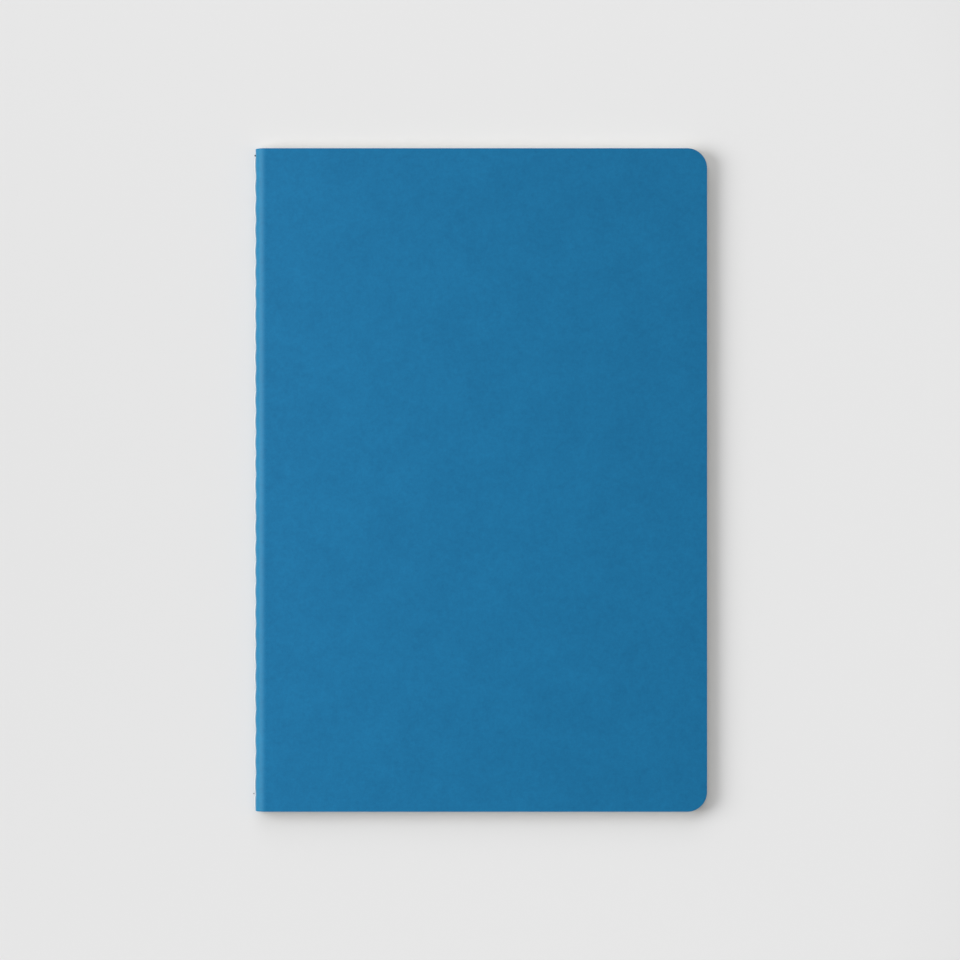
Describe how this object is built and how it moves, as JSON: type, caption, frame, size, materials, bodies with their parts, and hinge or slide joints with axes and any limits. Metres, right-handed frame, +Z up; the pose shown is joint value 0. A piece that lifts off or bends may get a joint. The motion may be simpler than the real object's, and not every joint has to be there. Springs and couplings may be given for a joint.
{
  "type": "notebook",
  "caption": "Thread-sewn softcover notebook: one section of folded sheets in a folded card cover with round fore corners; both halves and both covers open flat and fold right back.",
  "frame": {"origin": "middle of the base of the closed notebook, thread included", "axes": "+Z up through the closed notebook from back cover to front cover; +Y towards the head; the spine is on the -X side and the fore edge on the +X side"},
  "size_m": [0.1436, 0.21, 0.0048],
  "materials": {
    "cover_card": "matte uncoated card, dyed mid blue, fine faint mottle",
    "leaf_paper": "matte uncoated off-white writing paper, blank",
    "sewing_thread": "matte white two-ply sewing thread"
  },
  "bodies": {
    "rear_leaves": {"rear_leaf_01": "leaf_paper", "rear_leaf_02": "leaf_paper", "rear_leaf_03": "leaf_paper", "rear_leaf_04": "leaf_paper", "rear_leaf_05": "leaf_paper", "rear_leaf_06": "leaf_paper", "rear_leaf_07": "leaf_paper", "rear_leaf_08": "leaf_paper", "rear_leaf_09": "leaf_paper", "rear_leaf_10": "leaf_paper", "rear_leaf_11": "leaf_paper", "rear_leaf_12": "leaf_paper", "rear_leaf_13": "leaf_paper", "rear_leaf_14": "leaf_paper", "rear_leaf_15": "leaf_paper", "rear_leaf_16": "leaf_paper", "rear_leaf_17": "leaf_paper", "rear_leaf_18": "leaf_paper", "rear_leaf_19": "leaf_paper", "rear_leaf_20": "leaf_paper"},
    "front_leaf_01": {"front_leaf_01": "leaf_paper"},
    "front_leaf_02": {"front_leaf_02": "leaf_paper"},
    "front_leaf_03": {"front_leaf_03": "leaf_paper"},
    "front_leaf_04": {"front_leaf_04": "leaf_paper"},
    "front_leaf_05": {"front_leaf_05": "leaf_paper"},
    "front_leaf_06": {"front_leaf_06": "leaf_paper"},
    "front_leaf_07": {"front_leaf_07": "leaf_paper"},
    "front_leaf_08": {"front_leaf_08": "leaf_paper"},
    "front_leaf_09": {"front_leaf_09": "leaf_paper"},
    "front_leaf_10": {"front_leaf_10": "leaf_paper"},
    "front_leaf_11": {"front_leaf_11": "leaf_paper"},
    "front_leaf_12": {"front_leaf_12": "leaf_paper"},
    "front_leaf_13": {"front_leaf_13": "leaf_paper"},
    "front_leaf_14": {"front_leaf_14": "leaf_paper"},
    "front_leaf_15": {"front_leaf_15": "leaf_paper"},
    "front_leaf_16": {"front_leaf_16": "leaf_paper"},
    "front_leaf_17": {"front_leaf_17": "leaf_paper"},
    "front_leaf_18": {"front_leaf_18": "leaf_paper"},
    "front_leaf_19": {"front_leaf_19": "leaf_paper"},
    "front_leaf_20": {"front_leaf_20": "leaf_paper"},
    "sewn_fold": {"cover_spine": "cover_card", "sheet_folds": "leaf_paper", "spine_thread": "sewing_thread", "gutter_thread": "sewing_thread"},
    "front_cover": {"front_cover": "cover_card"},
    "back_cover": {"back_cover": "cover_card"}
  },
  "joints": [
    {"name": "notebook_opens", "type": "hinge", "parent": "rear_leaves", "child": "front_leaf_20", "pos_m": [-0.06885, 0, 0.0024], "axis": [0, -1, 0], "range_deg": [0, 180]},
    {"name": "front_leaf_01_turns", "type": "hinge", "parent": "rear_leaves", "child": "front_leaf_01", "pos_m": [-0.06885, 0, 0.0024], "axis": [0, -1, 0], "range_deg": [0, 173.7]},
    {"name": "front_leaf_02_turns", "type": "hinge", "parent": "rear_leaves", "child": "front_leaf_02", "pos_m": [-0.06885, 0, 0.0024], "axis": [0, -1, 0], "range_deg": [0, 174.03]},
    {"name": "front_leaf_03_turns", "type": "hinge", "parent": "rear_leaves", "child": "front_leaf_03", "pos_m": [-0.06885, 0, 0.0024], "axis": [0, -1, 0], "range_deg": [0, 174.36]},
    {"name": "front_leaf_04_turns", "type": "hinge", "parent": "rear_leaves", "child": "front_leaf_04", "pos_m": [-0.06885, 0, 0.0024], "axis": [0, -1, 0], "range_deg": [0, 174.69]},
    {"name": "front_leaf_05_turns", "type": "hinge", "parent": "rear_leaves", "child": "front_leaf_05", "pos_m": [-0.06885, 0, 0.0024], "axis": [0, -1, 0], "range_deg": [0, 175.03]},
    {"name": "front_leaf_06_turns", "type": "hinge", "parent": "rear_leaves", "child": "front_leaf_06", "pos_m": [-0.06885, 0, 0.0024], "axis": [0, -1, 0], "range_deg": [0, 175.36]},
    {"name": "front_leaf_07_turns", "type": "hinge", "parent": "rear_leaves", "child": "front_leaf_07", "pos_m": [-0.06885, 0, 0.0024], "axis": [0, -1, 0], "range_deg": [0, 175.69]},
    {"name": "front_leaf_08_turns", "type": "hinge", "parent": "rear_leaves", "child": "front_leaf_08", "pos_m": [-0.06885, 0, 0.0024], "axis": [0, -1, 0], "range_deg": [0, 176.02]},
    {"name": "front_leaf_09_turns", "type": "hinge", "parent": "rear_leaves", "child": "front_leaf_09", "pos_m": [-0.06885, 0, 0.0024], "axis": [0, -1, 0], "range_deg": [0, 176.35]},
    {"name": "front_leaf_10_turns", "type": "hinge", "parent": "rear_leaves", "child": "front_leaf_10", "pos_m": [-0.06885, 0, 0.0024], "axis": [0, -1, 0], "range_deg": [0, 176.68]},
    {"name": "front_leaf_11_turns", "type": "hinge", "parent": "rear_leaves", "child": "front_leaf_11", "pos_m": [-0.06885, 0, 0.0024], "axis": [0, -1, 0], "range_deg": [0, 177.02]},
    {"name": "front_leaf_12_turns", "type": "hinge", "parent": "rear_leaves", "child": "front_leaf_12", "pos_m": [-0.06885, 0, 0.0024], "axis": [0, -1, 0], "range_deg": [0, 177.35]},
    {"name": "front_leaf_13_turns", "type": "hinge", "parent": "rear_leaves", "child": "front_leaf_13", "pos_m": [-0.06885, 0, 0.0024], "axis": [0, -1, 0], "range_deg": [0, 177.68]},
    {"name": "front_leaf_14_turns", "type": "hinge", "parent": "rear_leaves", "child": "front_leaf_14", "pos_m": [-0.06885, 0, 0.0024], "axis": [0, -1, 0], "range_deg": [0, 178.01]},
    {"name": "front_leaf_15_turns", "type": "hinge", "parent": "rear_leaves", "child": "front_leaf_15", "pos_m": [-0.06885, 0, 0.0024], "axis": [0, -1, 0], "range_deg": [0, 178.34]},
    {"name": "front_leaf_16_turns", "type": "hinge", "parent": "rear_leaves", "child": "front_leaf_16", "pos_m": [-0.06885, 0, 0.0024], "axis": [0, -1, 0], "range_deg": [0, 178.67]},
    {"name": "front_leaf_17_turns", "type": "hinge", "parent": "rear_leaves", "child": "front_leaf_17", "pos_m": [-0.06885, 0, 0.0024], "axis": [0, -1, 0], "range_deg": [0, 179]},
    {"name": "front_leaf_18_turns", "type": "hinge", "parent": "rear_leaves", "child": "front_leaf_18", "pos_m": [-0.06885, 0, 0.0024], "axis": [0, -1, 0], "range_deg": [0, 179.34]},
    {"name": "front_leaf_19_turns", "type": "hinge", "parent": "rear_leaves", "child": "front_leaf_19", "pos_m": [-0.06885, 0, 0.0024], "axis": [0, -1, 0], "range_deg": [0, 179.67]},
    {"name": "sewn_fold_turns", "type": "hinge", "parent": "rear_leaves", "child": "sewn_fold", "pos_m": [-0.06885, 0, 0.0024], "axis": [0, -1, 0], "range_deg": [0, 90], "deforming": ["cover_spine", "sheet_folds"]},
    {"name": "front_cover_opens", "type": "hinge", "parent": "front_leaf_20", "child": "front_cover", "pos_m": [-0.06785, 0, 0.0052], "axis": [0, -1, 0], "range_deg": [0, 180]},
    {"name": "back_cover_opens", "type": "hinge", "parent": "rear_leaves", "child": "back_cover", "pos_m": [-0.06785, 0, -0.0008], "axis": [0, -1, 0], "range_deg": [-180, 0]}
  ],
  "couplings": [
    {"joint": "front_leaf_01_turns", "follows": "notebook_opens", "ratio": 0.965},
    {"joint": "front_leaf_02_turns", "follows": "notebook_opens", "ratio": 0.96684},
    {"joint": "front_leaf_03_turns", "follows": "notebook_opens", "ratio": 0.96868},
    {"joint": "front_leaf_04_turns", "follows": "notebook_opens", "ratio": 0.97053},
    {"joint": "front_leaf_05_turns", "follows": "notebook_opens", "ratio": 0.97237},
    {"joint": "front_leaf_06_turns", "follows": "notebook_opens", "ratio": 0.97421},
    {"joint": "front_leaf_07_turns", "follows": "notebook_opens", "ratio": 0.97605},
    {"joint": "front_leaf_08_turns", "follows": "notebook_opens", "ratio": 0.97789},
    {"joint": "front_leaf_09_turns", "follows": "notebook_opens", "ratio": 0.97974},
    {"joint": "front_leaf_10_turns", "follows": "notebook_opens", "ratio": 0.98158},
    {"joint": "front_leaf_11_turns", "follows": "notebook_opens", "ratio": 0.98342},
    {"joint": "front_leaf_12_turns", "follows": "notebook_opens", "ratio": 0.98526},
    {"joint": "front_leaf_13_turns", "follows": "notebook_opens", "ratio": 0.98711},
    {"joint": "front_leaf_14_turns", "follows": "notebook_opens", "ratio": 0.98895},
    {"joint": "front_leaf_15_turns", "follows": "notebook_opens", "ratio": 0.99079},
    {"joint": "front_leaf_16_turns", "follows": "notebook_opens", "ratio": 0.99263},
    {"joint": "front_leaf_17_turns", "follows": "notebook_opens", "ratio": 0.99447},
    {"joint": "front_leaf_18_turns", "follows": "notebook_opens", "ratio": 0.99632},
    {"joint": "front_leaf_19_turns", "follows": "notebook_opens", "ratio": 0.99816},
    {"joint": "sewn_fold_turns", "follows": "notebook_opens", "ratio": 0.5}
  ]
}
